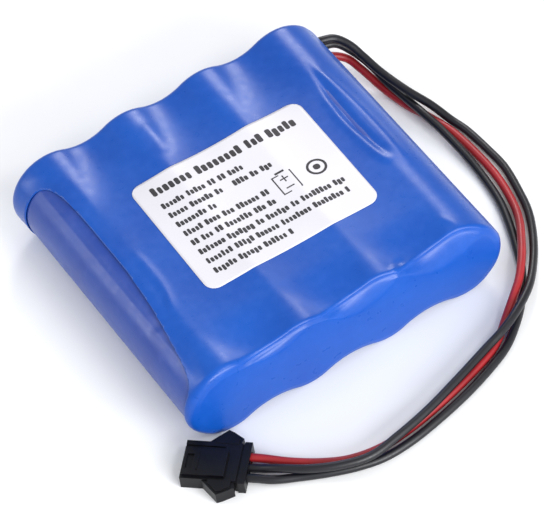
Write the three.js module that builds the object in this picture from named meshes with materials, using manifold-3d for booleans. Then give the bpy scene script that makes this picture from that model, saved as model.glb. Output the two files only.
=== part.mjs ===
// A flat battery pack: four cylindrical lithium-ion cells side by side in a shrink sleeve,
// with a protection board at the far end and three leads to a wire-to-wire connector.
// Millimetres. +X runs across the cells, +Y along them to the board end, +Z up.
// The origin is the middle of the pack's underside.
import * as THREE from "three";
import { mergeVertices } from "three/addons/utils/BufferGeometryUtils.js";
import Module from "manifold-3d";

const wasm = await Module();
wasm.setup();

// ---------------------------------------------------------------- driving dimensions
const CELL_COUNT = 4;
const CELL_PITCH = 18.7;
const CELL_LENGTH = 65.2;
const WRAP_RADIUS = 9.2;
const CAN_RADIUS = 9.0;
const CAN_WALL = 0.3;
const CELL_SEGMENTS = 24;
const SMALL_SEGMENTS = 20;

const PACK_LENGTH = 72;
const FILM_RADIUS = 9.6; // outside of the sleeve over a cell's crest
const FILM_THICKNESS = 0.25;
const FILM_STEP = Math.PI / 20; // angle of one facet round a cell
const FILM_LEAVES = 2.5 * FILM_STEP; // off the crest, where the film leaves the cell for the valley
const FILM_BEVEL = 1.9; // rounded edge of the two end faces

const OPENING_START = -34.0; // both side openings of the sleeve begin here in Y, on the cells' ends
const LEFT_OPENING_END = 30.2; // and end here, on the first cell's own end
const RIGHT_OPENING_END = 34.9; // and here, beside the board, where the leads come out
const OPENING_OUTSIDE = 31.0; // the openings are cut outside this X
const LEFT_HALF_HEIGHT = 9.0;
const LEFT_FAR_END = [7.5, 6.0]; // length and height of the rounding of its far corners
const RIGHT_HALF_HEIGHT = 5.5;
const RIGHT_DROP = 1.7; // the sleeve sits a little askew, so this opening is the lower one
const OPENING_CORNER = [4.5, 4.5];

const LABEL_SIZE = [40.8, 33.5];
const LABEL_CENTRE = [0.9, -0.8];
const LABEL_CORNER = 2.6;
const LABEL_GAP = 0.1;
const LABEL_THICKNESS = 0.15;

const CELLS_FROM = -34.4; // Y of the cells' front ends
const STRIP_THICKNESS = 0.2;
const STRIP_WIDTH = 7;
const PAPER_THICKNESS = 0.25;
const PAPER_DEPTH = 2.2; // edge of the insulating papers, in from the film's outer surface
const BOARD_SIZE = [50, 13, 1];

const LEAD_RADIUS = 0.9;
const LEAD_SIDES = 8;
const LEAD_STEPS = 50;
const SENSE_RADIUS = 0.5;
const SENSE_STEPS = 24;

const PIN_PITCH = 2.5;
const HOUSING_PLACE = [-36.5, -42.5];
const HOUSING_YAW = (138 * Math.PI) / 180;
const HOUSING_LENGTH = 13.3;
const HOUSING_WIDTH = 9.4;
const HOUSING_HEIGHT = 3.2;
const PIN_HEIGHT = 1.6;

// ---------------------------------------------------------------- derived places
const mid = FILM_RADIUS; // Z of the cells' axes
const halfPitch = CELL_PITCH / 2;
const cellX = (i) => (i - (CELL_COUNT - 1) / 2) * CELL_PITCH;
const cellsTo = CELLS_FROM + CELL_LENGTH;
const webRadius = halfPitch / Math.sin(FILM_LEAVES) - FILM_RADIUS;
const webCentre = halfPitch / Math.tan(FILM_LEAVES);
const frontStripY = CELLS_FROM - 0.2;
const frontPaperY = frontStripY - 0.32;
const farStripY = cellsTo + 0.2;
const farPaperY = farStripY + 0.35;
const boardY = farPaperY + 0.8;
const boardFace = boardY + BOARD_SIZE[2] / 2;

// ---------------------------------------------------------------- materials
const paint = (colour, roughness, metalness = 0) =>
  new THREE.MeshStandardMaterial({ color: colour, roughness, metalness });
const filmBlue = () => paint(0x2f5fc4, 0.25);
const wrapBlue = () => paint(0x40589f, 0.35);
const steel = () => paint(0xb9bcc2, 0.3, 1);
const nickel = () => paint(0xc9c7bd, 0.35, 1);
const blackPlastic = () => paint(0x1b1c22, 0.4);

// ---------------------------------------------------------------- helpers
const pack = new THREE.Group();

function add(name, geometry, material, parent = pack) {
  const mesh = new THREE.Mesh(geometry, material);
  mesh.name = name;
  parent.add(mesh);
  return mesh;
}

function toSolid(geometry) {
  const bare = geometry.index ? geometry.toNonIndexed() : geometry.clone();
  bare.deleteAttribute("normal");
  bare.deleteAttribute("uv");
  const merged = mergeVertices(bare, 1e-4);
  return new wasm.Manifold(
    new wasm.Mesh({
      numProp: 3,
      vertProperties: merged.attributes.position.array,
      triVerts: new Uint32Array(merged.index.array),
    }),
  );
}

function toGeometry(solid) {
  const mesh = solid.getMesh();
  const positions = new Float32Array(mesh.numVert * 3);
  for (let i = 0; i < mesh.numVert; i++) {
    const from = i * mesh.numProp;
    positions.set(mesh.vertProperties.subarray(from, from + 3), i * 3);
  }
  return new THREE.BufferGeometry()
    .setAttribute("position", new THREE.BufferAttribute(positions, 3))
    .setIndex(new THREE.BufferAttribute(new Uint32Array(mesh.triVerts), 1));
}

// A box given by its size and its centre.
const boxAt = (size, centre) => new THREE.BoxGeometry(...size).translate(...centre);

// A profile of [radius, height] pairs turned about Z.
function turned(profile, segments) {
  const points = profile.map(([r, z]) => new THREE.Vector2(r, z));
  return new THREE.LatheGeometry(points, segments).rotateX(Math.PI / 2);
}

// A straight prism whose outline is in XZ, running from -length/2 to +length/2 along Y.
function prismAlongY(shape, length, bevel = 0) {
  const straight = length - 2 * bevel;
  const options = { depth: straight, curveSegments: 10, bevelEnabled: bevel > 0 };
  if (bevel > 0) {
    options.bevelThickness = bevel;
    options.bevelSize = bevel;
    options.bevelOffset = -bevel;
    options.bevelSegments = 3;
  }
  return new THREE.ExtrudeGeometry(shape, options)
    .translate(0, 0, -straight / 2)
    .rotateX(Math.PI / 2);
}

function roundedRectangle(width, height, corner) {
  const x = width / 2 - corner;
  const y = height / 2 - corner;
  const shape = new THREE.Shape();
  shape.absarc(x, -y, corner, -Math.PI / 2, 0, false);
  shape.absarc(x, y, corner, 0, Math.PI / 2, false);
  shape.absarc(-x, y, corner, Math.PI / 2, Math.PI, false);
  shape.absarc(-x, -y, corner, Math.PI, 1.5 * Math.PI, false);
  return shape;
}

// A round tube along a smooth curve through the points.
function tube(points, radius, sides, steps) {
  const section = new THREE.Shape();
  for (let k = 0; k < sides; k++) {
    const angle = (2 * Math.PI * k) / sides;
    const x = radius * Math.cos(angle);
    const y = radius * Math.sin(angle);
    if (k === 0) section.moveTo(x, y);
    else section.lineTo(x, y);
  }
  const path = new THREE.CatmullRomCurve3(
    points.map((p) => new THREE.Vector3(...p)),
    false,
    "catmullrom",
    0.5,
  );
  return new THREE.ExtrudeGeometry(section, { steps, extrudePath: path, bevelEnabled: false });
}

// ---------------------------------------------------------------- the sleeve and its label
// The pack's section in XZ about the cells' axes: an arc over each cell's crest and a hollow web
// between two cells, at the given depth under the film's outer surface. Each crest has one
// level facet, on which the pack lies. The underside with the right side is one half, and the
// other half is the same turned by 180 degrees.
function lobedOutline(depth) {
  const crest = (FILM_RADIUS - depth) / Math.cos(FILM_STEP / 2);
  const web = webRadius + depth;
  const quarter = Math.PI / 2;
  const half = [];
  const arc = (cx, cz, radius, from, to) => {
    const count = Math.round(Math.abs(to - from) / FILM_STEP);
    for (let k = 0; k < count; k++) {
      const angle = from + ((to - from) * k) / count;
      half.push(new THREE.Vector2(cx + radius * Math.cos(angle), cz + radius * Math.sin(angle)));
    }
  };
  for (let i = 1; i < CELL_COUNT; i++) {
    const valley = cellX(i) - halfPitch;
    arc(valley, -webCentre, web, quarter + FILM_LEAVES, quarter - FILM_LEAVES);
    const roundTheSide = i === CELL_COUNT - 1 ? Math.PI : 0;
    arc(cellX(i), 0, crest, -quarter - FILM_LEAVES, -quarter + roundTheSide + FILM_LEAVES);
  }
  return new THREE.Shape([...half, ...half.map((point) => point.clone().negate())]);
}

// Prism of the pack's section, z of the outline upwards.
const lobedPrism = (depth, length, bevel) =>
  prismAlongY(lobedOutline(depth), length, bevel).translate(0, 0, mid);

// What is cut from the sleeve at one side: a long hole with rounded corners.
function sideOpening(side) {
  const halfHeight = side > 0 ? RIGHT_HALF_HEIGHT : LEFT_HALF_HEIGHT;
  const farEnd = side > 0 ? OPENING_CORNER : LEFT_FAR_END;
  const openingEnd = side > 0 ? RIGHT_OPENING_END : LEFT_OPENING_END;
  const shape = new THREE.Shape();
  const corner = (end, up, [length, height], turn) => {
    const y = end > 0 ? openingEnd - length : OPENING_START + length;
    const z = up * (halfHeight - height);
    const from = (turn * Math.PI) / 2;
    shape.absellipse(y, z, length, height, from, from + Math.PI / 2, false);
  };
  corner(1, -1, farEnd, 3);
  corner(1, 1, farEnd, 0);
  corner(-1, 1, OPENING_CORNER, 1);
  corner(-1, -1, OPENING_CORNER, 2);
  const depth = 12;
  const x = side > 0 ? OPENING_OUTSIDE : -OPENING_OUTSIDE - depth;
  const z = side > 0 ? mid - RIGHT_DROP : mid;
  return new THREE.ExtrudeGeometry(shape, { depth, curveSegments: 8, bevelEnabled: false })
    .rotateX(Math.PI / 2)
    .rotateZ(Math.PI / 2)
    .translate(x, 0, z);
}

function sleeve() {
  const outer = toSolid(lobedPrism(0, PACK_LENGTH, FILM_BEVEL));
  const innerLength = PACK_LENGTH - 2 * FILM_THICKNESS;
  const inner = toSolid(lobedPrism(FILM_THICKNESS, innerLength, FILM_BEVEL - FILM_THICKNESS));
  return outer
    .subtract(inner)
    .subtract(toSolid(sideOpening(-1)))
    .subtract(toSolid(sideOpening(1)));
}

// The label follows the crests and valleys of the film under it.
function label() {
  const upper = toSolid(lobedPrism(-LABEL_GAP - LABEL_THICKNESS, PACK_LENGTH));
  const lower = toSolid(lobedPrism(-LABEL_GAP, PACK_LENGTH + 2));
  const outline = roundedRectangle(...LABEL_SIZE, LABEL_CORNER);
  const cutter = new THREE.ExtrudeGeometry(outline, {
    depth: 2 * mid,
    curveSegments: 3,
    bevelEnabled: false,
  }).translate(...LABEL_CENTRE, mid);
  return upper.subtract(lower).intersect(toSolid(cutter));
}

add("shrink_sleeve", toGeometry(sleeve()), filmBlue());
add("label", toGeometry(label()), paint(0xe8e6ea, 0.55));

// ---------------------------------------------------------------- the cells
// Heights are along a cell's own axis, from the outside of its negative end.
const lipHeight = CELL_LENGTH - 0.4; // outside of the wrap's lip at the positive end
const rimHeight = lipHeight - 0.6; // top of the can's crimped rim
const grooveHeight = rimHeight - 3.2;
const boreRadius = CAN_RADIUS - CAN_WALL;
const groove = 0.65;
const crimpRadius = 7.3; // the can's mouth after crimping
const rollRadius = 8.35;
const gasketRadius = 8.6;
const gasketBore = 7.4;
const capRadius = 8.1;
const buttonRadius = 4.2; // the raised middle of the cap
const ringBore = 4.9;
const lipRadius = 7.6; // how far in the wrap is folded over both ends
const wrapThickness = 0.1;

const canProfile = [
  [0, CAN_WALL],
  [boreRadius, CAN_WALL],
  [CAN_RADIUS, 2 * CAN_WALL],
  [CAN_RADIUS, grooveHeight - 0.6],
  [CAN_RADIUS - groove, grooveHeight],
  [CAN_RADIUS, grooveHeight + 0.6],
  [CAN_RADIUS, rimHeight],
  [crimpRadius, rimHeight],
  [crimpRadius, rimHeight - CAN_WALL],
  [boreRadius, rimHeight - CAN_WALL],
  [boreRadius, grooveHeight + 0.7],
  [boreRadius - groove, grooveHeight],
  [boreRadius, grooveHeight - 0.7],
  [boreRadius, 2 * CAN_WALL],
  [0, 2 * CAN_WALL],
];
const rollProfile = [
  [0, 0.9],
  [rollRadius, 0.9],
  [rollRadius, grooveHeight - 1.2],
  [0, grooveHeight - 1.2],
];
const gasketTop = rimHeight - 0.4;
const gasketProfile = [
  [gasketBore, grooveHeight + 0.85],
  [gasketRadius, grooveHeight + 0.85],
  [gasketRadius, gasketTop],
  [gasketBore, gasketTop],
  [gasketBore, gasketTop - 0.35],
  [gasketRadius - 0.35, gasketTop - 0.35],
  [gasketRadius - 0.35, grooveHeight + 1.2],
  [gasketBore, grooveHeight + 1.2],
  [gasketBore, grooveHeight + 0.85],
];
const capProfile = [
  [0, grooveHeight + 1.3],
  [capRadius, grooveHeight + 1.3],
  [capRadius, gasketTop - 0.45],
  [buttonRadius + 0.5, gasketTop - 0.45],
  [buttonRadius, CELL_LENGTH],
  [0, CELL_LENGTH],
];
const ringProfile = [
  [ringBore, rimHeight + 0.1],
  [gasketRadius, rimHeight + 0.1],
  [gasketRadius, rimHeight + 0.4],
  [ringBore, rimHeight + 0.4],
  [ringBore, rimHeight + 0.1],
];
const wrapInside = WRAP_RADIUS - wrapThickness;
const wrapProfile = [
  [lipRadius, 0],
  [WRAP_RADIUS, 0],
  [WRAP_RADIUS, lipHeight],
  [lipRadius, lipHeight],
  [lipRadius, lipHeight - wrapThickness],
  [wrapInside, lipHeight - wrapThickness],
  [wrapInside, wrapThickness],
  [lipRadius, wrapThickness],
  [lipRadius, 0],
];

// Odd cells have their positive end at the board, even cells at the front.
for (let i = 0; i < CELL_COUNT; i++) {
  const positiveFar = i % 2 === 0;
  const cell = new THREE.Group();
  cell.position.set(cellX(i), positiveFar ? CELLS_FROM : cellsTo, mid);
  cell.rotation.x = positiveFar ? -Math.PI / 2 : Math.PI / 2;
  pack.add(cell);
  const n = i + 1;
  add(`cell_${n}_can`, turned(canProfile, CELL_SEGMENTS), steel(), cell);
  add(`cell_${n}_roll`, turned(rollProfile, SMALL_SEGMENTS), paint(0x4b4038, 0.7), cell);
  add(`cell_${n}_gasket`, turned(gasketProfile, SMALL_SEGMENTS), paint(0xd9d6cc, 0.6), cell);
  add(`cell_${n}_cap`, turned(capProfile, SMALL_SEGMENTS), steel(), cell);
  add(`cell_${n}_ring`, turned(ringProfile, SMALL_SEGMENTS), paint(0xdcdcd4, 0.8), cell);
  add(`cell_${n}_wrap`, turned(wrapProfile, CELL_SEGMENTS), wrapBlue(), cell);
}

// Hot-melt beads hold each pair of cells together, in the valley over the joint.
const BEAD_RADIUS = 1.3;
const BEAD_LENGTH = 14;
const BEAD_RISE = 5.7;
for (let i = 0; i < CELL_COUNT - 1; i++) {
  const bead = new THREE.CapsuleGeometry(BEAD_RADIUS, BEAD_LENGTH, 3, 8);
  const place = add(`glue_bead_${i + 1}`, bead, paint(0xe6dcb4, 0.4));
  place.position.set(cellX(i) + halfPitch, 0, mid + BEAD_RISE);
}

// ---------------------------------------------------------------- cell connections
// Nickel strips welded to the cell ends, and the two end tabs.
function strip(name, fromX, toX, y) {
  const size = [toX - fromX, STRIP_THICKNESS, STRIP_WIDTH];
  add(name, boxAt(size, [(fromX + toX) / 2, y, mid]), nickel());
}
const reach = 3.6; // of a strip past a cell's axis
const tabReach = 6.6; // of an end tab towards the middle of the board
strip("link_cells_1_2", cellX(0) - reach, cellX(1) + reach, frontStripY);
strip("link_cells_3_4", cellX(2) - reach, cellX(3) + reach, frontStripY);
strip("link_cells_2_3", cellX(1) - reach, cellX(2) + reach, farStripY);
strip("tab_positive", cellX(0) - reach, cellX(0) + tabReach, farStripY);
strip("tab_negative", cellX(3) - tabReach, cellX(3) + reach, farStripY);

function paper(name, y) {
  const geometry = lobedPrism(PAPER_DEPTH, PAPER_THICKNESS);
  add(name, geometry.translate(0, y, 0), paint(0xc9b184, 0.85));
}
paper("front_insulator", frontPaperY);
paper("far_insulator", farPaperY);

// Two voltage-sense wires in the valleys under the pack, from the front links to the board.
for (const [name, x] of [
  ["sense_wire_1", cellX(0) + halfPitch],
  ["sense_wire_3", cellX(2) + halfPitch],
]) {
  const low = mid - 6.3;
  const points = [
    [x, CELLS_FROM + 0.6, low],
    [x, 0, low],
    [x, cellsTo - 2, low],
    [x, cellsTo + 0.9, low - 0.4],
    [x * 0.97, boardFace + 0.65, low - 0.2],
    [x * 0.94, boardFace + 0.7, low + 0.9],
  ];
  add(name, tube(points, SENSE_RADIUS, LEAD_SIDES, SENSE_STEPS), paint(0xd8c23a, 0.45));
}

// ---------------------------------------------------------------- protection board
const [boardWidth, boardHeight, boardThickness] = BOARD_SIZE;
const notchSize = [4, 3, 3]; // in the board's lower edge, one for each sense wire
const notchDrop = 6.3;
function boardSolid() {
  const plate = toSolid(boxAt([boardWidth, boardThickness, boardHeight], [0, boardY, mid]));
  const notch = (x) => toSolid(boxAt(notchSize, [x, boardY, mid - notchDrop]));
  return plate.subtract(notch(cellX(0) + halfPitch)).subtract(notch(cellX(2) + halfPitch));
}
add("protection_board", toGeometry(boardSolid()), paint(0x1f5a36, 0.45));

function chip(name, width, height, thickness, x, z) {
  const y = boardFace + 0.1 + thickness / 2;
  add(name, boxAt([width, thickness, height], [x, y, mid + z]), blackPlastic());
}
chip("mosfet_charge", 5, 4, 1.5, -13, 1);
chip("mosfet_discharge", 5, 4, 1.5, -6, 1);
chip("protection_ic", 6.4, 4.4, 1.2, 3, 1);
chip("sense_resistor", 6.4, 3.2, 0.6, 12, 2.5);

// ---------------------------------------------------------------- connector
const connector = new THREE.Group();
connector.position.set(...HOUSING_PLACE, 0);
connector.rotation.z = HOUSING_YAW;
pack.add(connector);

// The housing's own X runs from the wire end to the mating end, its Y across the pins.
const rear = -HOUSING_LENGTH / 2;
const front = HOUSING_LENGTH / 2;
const flangeDepth = 1.5;
const flangeHalfWidth = 5.15;
const matingFrom = 0.9; // the mating recess starts here
const wingStart = 2.2;
const wingTip = [-1.3, 8.05];
const wingShoulder = [-2.5, 7.5];
const wingTail = [-4.7, 6.1];
const wingHeight = 2.8;
const deckSize = [8.6, 6.4, 0.7]; // the raised part on top, set off towards one arm
const deckOffset = 0.9;
const recessWall = 0.8;
const recessHeight = 2;
const pinHole = 2.15; // width and height of the hole for each lead and its pin

function wing(side) {
  const root = HOUSING_WIDTH / 2 - 1;
  const shape = new THREE.Shape();
  shape.moveTo(wingStart, side * (root + 1));
  shape.lineTo(wingTip[0], side * wingTip[1]);
  shape.lineTo(wingShoulder[0], side * wingShoulder[1]);
  shape.lineTo(wingTail[0], side * wingTail[1]);
  shape.lineTo(wingTail[0] + 0.4, side * (root + 0.9));
  shape.lineTo(wingTail[0] + 0.4, side * root);
  shape.lineTo(wingStart, side * root);
  shape.closePath();
  const options = { depth: wingHeight, bevelEnabled: false };
  return toSolid(new THREE.ExtrudeGeometry(shape, options).translate(0, 0, 0.1));
}

function housing() {
  const height = HOUSING_HEIGHT;
  const bodyLength = HOUSING_LENGTH - flangeDepth;
  const bodyX = (front + rear + flangeDepth) / 2;
  let solid = toSolid(boxAt([bodyLength + 0.2, HOUSING_WIDTH, height], [bodyX - 0.1, 0, height / 2]));
  const flange = [flangeDepth, 2 * flangeHalfWidth, height - 0.1];
  solid = solid.add(toSolid(boxAt(flange, [rear + flangeDepth / 2, 0, height / 2])));
  solid = solid.add(wing(-1)).add(wing(1));
  const [deckLength, deckWidth, deckHeight] = deckSize;
  const deckX = front - 0.4 - deckLength / 2;
  const deck = boxAt(
    [deckLength, deckWidth, deckHeight + 0.2],
    [deckX, deckOffset, height + deckHeight / 2 - 0.1],
  );
  solid = solid.add(toSolid(deck));
  const recess = [front - matingFrom + 1, HOUSING_WIDTH - 2 * recessWall, recessHeight];
  const recessX = (front + 1 + matingFrom) / 2;
  solid = solid.subtract(toSolid(boxAt(recess, [recessX, 0, PIN_HEIGHT])));
  const hole = [matingFrom - rear + 1.5, pinHole, pinHole];
  const holeX = (matingFrom + rear - 0.5) / 2;
  for (let k = -1; k <= 1; k++) {
    solid = solid.subtract(toSolid(boxAt(hole, [holeX, k * PIN_PITCH, PIN_HEIGHT])));
  }
  return solid;
}
add("connector_housing", toGeometry(housing()), blackPlastic(), connector);

// A crimp barrel and a pin in one, along the housing's X.
const pinProfile = [
  [0, -3.6],
  [0.75, -3.6],
  [0.75, 0.4],
  [0.35, 0.8],
  [0.35, 4.2],
  [0, 4.6],
];
for (let k = -1; k <= 1; k++) {
  const pin = turned(pinProfile, 8).rotateY(Math.PI / 2);
  add(`terminal_${k + 2}`, pin, nickel(), connector).position.set(0, k * PIN_PITCH, PIN_HEIGHT);
}

// ---------------------------------------------------------------- leads
// Each lead starts at its pad on the board, leaves through the right-hand opening of the sleeve,
// comes down to the table, and goes round the pack's corner to the connector.
function atConnector(along, across, height) {
  const x = along * Math.cos(HOUSING_YAW) - across * Math.sin(HOUSING_YAW);
  const y = along * Math.sin(HOUSING_YAW) + across * Math.cos(HOUSING_YAW);
  return [HOUSING_PLACE[0] + x, HOUSING_PLACE[1] + y, height];
}

const redRoute = [
  [21.5, 33.9, 6.6],
  [29, 33.9, 6.7],
  [35, 33.1, 6.9],
  [38.8, 31.9, 6.7],
  [41.8, 30, 5.5],
  [43.1, 27.2, 4.1],
  [44, 24.5, 2.8],
  [44.7, 21.8, 1.8],
  [45.5, 18.5, 1.2],
  [46.6, 14, 1],
  [48.4, 8.5, 1],
  [50, 1.5, 1],
  [50.5, -7, 1],
  [50.3, -14, 1],
  [49, -21.3, 1.2],
  [47, -27, 1.8],
  [44, -32.3, 2.6],
  [41, -36.8, 3.1],
  [37.5, -41, 3.1],
  [34, -44, 2.8],
  [30.5, -46.6, 1.9],
  [26.5, -49.7, 1.2],
  [22.5, -52, 1],
  [14, -54.8, 1],
  [5, -57, 1],
  [-2, -58.1, 1],
  [-8, -58.3, 1],
  [-14, -57, 1],
  [-19, -54.3, 1],
  [-24, -50.5, 1.2],
];
const upperBlackRoute = [
  [21.5, 33.9, 11.7],
  [29, 33.8, 11.8],
  [34.5, 33, 11.9],
  [38.3, 32.1, 12],
  [40.6, 31.2, 11.5],
  [42.5, 28.8, 10.2],
  [43.7, 25.7, 8.4],
  [45, 20.9, 6.6],
  [47, 14.6, 5.2],
  [49.6, 9.6, 3.2],
  [51.4, 5, 1.3],
  [52.5, 0.5, 1],
  [53, -7, 1],
  [53, -13, 1],
  [51.6, -20.3, 1],
  [50, -26, 1],
  [47, -32, 1.2],
  [43, -38, 1.9],
  [38, -43.8, 3.1],
  [32, -48, 3.6],
  [27, -50.3, 3.4],
  [22, -51.8, 3.1],
  [12.5, -55, 3.1],
  [4, -57.6, 3.1],
  [-4, -59.4, 3.2],
  [-11, -60.3, 3.2],
  [-17, -58.6, 3.2],
  [-22.7, -55.4, 3.1],
  [-27.2, -51.4, 2.6],
];
const lowerBlackRoute = [
  [21.5, 33.9, 9.4],
  [29, 33.8, 9.6],
  [34.8, 33, 9.9],
  [38.7, 32.2, 10],
  [41, 31.6, 9.2],
  [42.9, 29.8, 7.5],
  [44.3, 27.6, 5.9],
  [45.3, 24.6, 4.4],
  [45.7, 20.7, 3.4],
  [46.2, 16.9, 3.1],
  [46.7, 12.6, 3],
  [47.2, 8, 2.9],
  [47.9, 2.5, 2.2],
  [48.2, -5, 1.6],
  [48, -12, 1.1],
  [47, -19.5, 1],
  [45.3, -25.5, 1],
  [43, -31.5, 1],
  [39.8, -38.5, 1],
  [35.6, -44.4, 1],
  [31, -49, 1],
  [26, -52.7, 1],
  [20, -55.3, 1],
  [13, -57.6, 1],
  [5.5, -59.4, 1],
  [-1.5, -60.6, 1],
  [-8, -60.8, 1],
  [-13.5, -59.6, 1],
  [-19, -57.4, 1],
  [-24.5, -54.6, 1],
  [-29, -52.3, 1.3],
];
const plugEntry = -8.4; // along the connector's X, just behind the housing
const plugInside = -4.0;
function lead(name, route, pin, colour) {
  const across = pin * PIN_PITCH;
  const points = [
    ...route,
    atConnector(plugEntry, across, PIN_HEIGHT),
    atConnector(plugInside, across, PIN_HEIGHT),
  ];
  add(name, tube(points, LEAD_RADIUS, LEAD_SIDES, LEAD_STEPS), paint(colour, 0.45));
}
lead("lead_red", redRoute, -1, 0xb8373c);
lead("lead_black_upper", upperBlackRoute, 0, 0x23222b);
lead("lead_black_lower", lowerBlackRoute, 1, 0x23222b);

export default pack;
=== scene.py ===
"""A flat battery pack: four cells in a blue shrink sleeve, with a white label and three leads.

Shapes are worked out in millimetres and stored in metres. +X runs across the cells, +Y along
them to the board end, +Z up, and the pack rests on z = 0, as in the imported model.
"""

import math

import bmesh
import bpy
import numpy as np
from mathutils import Matrix, Vector


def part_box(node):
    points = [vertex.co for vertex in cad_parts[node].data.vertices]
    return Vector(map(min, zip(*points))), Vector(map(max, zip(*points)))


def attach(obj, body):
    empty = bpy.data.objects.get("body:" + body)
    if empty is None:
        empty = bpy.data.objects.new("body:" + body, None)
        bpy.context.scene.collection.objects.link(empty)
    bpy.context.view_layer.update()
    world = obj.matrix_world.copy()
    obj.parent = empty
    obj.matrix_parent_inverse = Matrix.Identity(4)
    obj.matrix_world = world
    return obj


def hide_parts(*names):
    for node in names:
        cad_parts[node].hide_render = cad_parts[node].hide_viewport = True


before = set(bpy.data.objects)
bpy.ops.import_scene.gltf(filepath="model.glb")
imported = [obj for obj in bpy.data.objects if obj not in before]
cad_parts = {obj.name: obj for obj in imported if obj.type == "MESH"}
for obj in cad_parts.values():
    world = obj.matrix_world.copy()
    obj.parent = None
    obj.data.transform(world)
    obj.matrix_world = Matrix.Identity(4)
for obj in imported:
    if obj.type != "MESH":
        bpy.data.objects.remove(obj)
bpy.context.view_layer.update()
MM = 0.001


def centre_mm(node):
    low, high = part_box(node)
    return (low + high) / 2 / MM


# ---------------------------- places taken from the frame
CRESTS = [centre_mm(f"cell_{n}_can").x for n in (1, 2, 3, 4)]
AXIS = centre_mm("cell_1_wrap").z  # height of the cells' axes
HALF_PITCH = (CRESTS[1] - CRESTS[0]) / 2
SIDE = CRESTS[3]  # x of the last cell's axis
SLEEVE_LOW, SLEEVE_HIGH = (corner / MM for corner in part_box("shrink_sleeve"))
RADIUS = (SLEEVE_HIGH.x - SLEEVE_LOW.x) / 2 - SIDE
HALF_LENGTH = SLEEVE_HIGH.y
LABEL_LOW, LABEL_HIGH = (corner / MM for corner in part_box("label"))
FILM_THICKNESS = 0.25


# ---------------------------- camera
CAMERA_AZIMUTH = -24  # degrees from the -Y axis, towards +X
CAMERA_ELEVATION = 49.8
CAMERA_ROLL = -10.7
CAMERA_TARGET = (-2.4, -10.9, AXIS)
CAMERA_DISTANCE = 832
CAMERA_LENS = 270
SENSOR_WIDTH = 36
CLIP_RANGE = (0.05, 10)  # metres


def make_camera():
    angles = (CAMERA_AZIMUTH, CAMERA_ELEVATION, CAMERA_ROLL)
    azimuth, elevation, roll = (math.radians(a) for a in angles)
    target = Vector(CAMERA_TARGET) * MM
    distance = CAMERA_DISTANCE * MM
    flat = math.cos(elevation)
    back = Vector((math.sin(azimuth) * flat, -math.cos(azimuth) * flat, math.sin(elevation)))
    right = Vector((0, 0, 1)).cross(back).normalized()
    up = back.cross(right)
    turned_right = math.cos(roll) * right + math.sin(roll) * up
    turned_up = math.cos(roll) * up - math.sin(roll) * right
    data = bpy.data.cameras.new("camera")
    data.sensor_width = SENSOR_WIDTH
    data.lens = CAMERA_LENS
    data.clip_start, data.clip_end = CLIP_RANGE
    camera = bpy.data.objects.new("camera", data)
    bpy.context.scene.collection.objects.link(camera)
    turn = Matrix((turned_right, turned_up, back)).transposed()
    camera.matrix_world = Matrix.Translation(target + back * distance) @ turn.to_4x4()
    bpy.context.scene.camera = camera


make_camera()


# ---------------------------- helpers: meshes
def add_object(name, data):
    made = bpy.data.objects.new(name, data)
    bpy.context.scene.collection.objects.link(made)
    return made


def mesh_object(name, points, faces, smooth=True):
    """A mesh piece from points in millimetres."""
    data = bpy.data.meshes.new(name)
    data.from_pydata([tuple(p * MM for p in point) for point in points], [], faces)
    data.validate()
    if smooth:
        data.shade_smooth()
    return add_object(name, data)


def thicken(piece, thickness):
    """Gives a one-sided sheet a thickness in millimetres, inwards."""
    made = piece.modifiers.new("thickness", "SOLIDIFY")
    made.thickness = thickness * MM
    made.offset = -1
    made.use_even_offset = True


JOIN = 0.01  # points nearer to each other than this become one


def tidy_mesh(piece, join=JOIN):
    """Joins points that coincide, drops loose ones and turns the faces outwards."""
    built = bmesh.new()
    built.from_mesh(piece.data)
    bmesh.ops.remove_doubles(built, verts=built.verts, dist=join * MM)
    bmesh.ops.delete(built, geom=[v for v in built.verts if not v.link_faces], context="VERTS")
    bmesh.ops.recalc_face_normals(built, faces=built.faces)
    built.to_mesh(piece.data)
    built.free()


def grid_faces(shape, closed, gone=None):
    """The faces between a grid's neighbouring points, but for those that touch one that is gone."""
    index = np.arange(shape[0] * shape[1]).reshape(shape)
    right = np.roll(index, -1, axis=1)
    across = shape[1] if closed else shape[1] - 1
    corners = np.stack([index[:-1], right[:-1], right[1:], index[1:]], axis=-1)
    faces = corners[:, :across].reshape(-1, 4)
    if gone is not None:
        faces = faces[~gone.ravel()[faces].any(axis=1)]
    return faces.tolist()


def neighbour_of(mask, closed):
    """Places next to, or diagonally next to, a marked one; a closed grid goes on across its edge."""
    padded = np.pad(mask, 1)
    if closed:
        padded[1:-1, 0] = mask[:, -1]
        padded[1:-1, -1] = mask[:, 0]
    found = np.zeros_like(mask)
    for down in range(3):
        for across in range(3):
            found |= padded[down:down + mask.shape[0], across:across + mask.shape[1]]
    return found


def make_sheet(name, points, faces, material, thickness, join=JOIN):
    """A thin sheet over a grid of points."""
    made = mesh_object(name, points.reshape(-1, 3), faces)
    tidy_mesh(made, join)
    paint(made, material)
    thicken(made, thickness)
    return made


def smooth_step(x):
    t = np.clip(x, 0, 1)
    return t * t * (3 - 2 * t)


def hump(off, width, height):
    """A bell-shaped rise, with its height at no distance off."""
    return height * np.exp(-((off / width) ** 2))


def catmull_rom(p0, p1, p2, p3, t):
    """A point between p1 and p2 on the curve through the four points."""
    slope1, slope2 = (p2 - p0) / 2, (p3 - p1) / 2
    cubic = 2 * p1 - 2 * p2 + slope1 + slope2
    square = -3 * p1 + 3 * p2 - 2 * slope1 - slope2
    return ((cubic * t + square) * t + slope1) * t + p1


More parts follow.
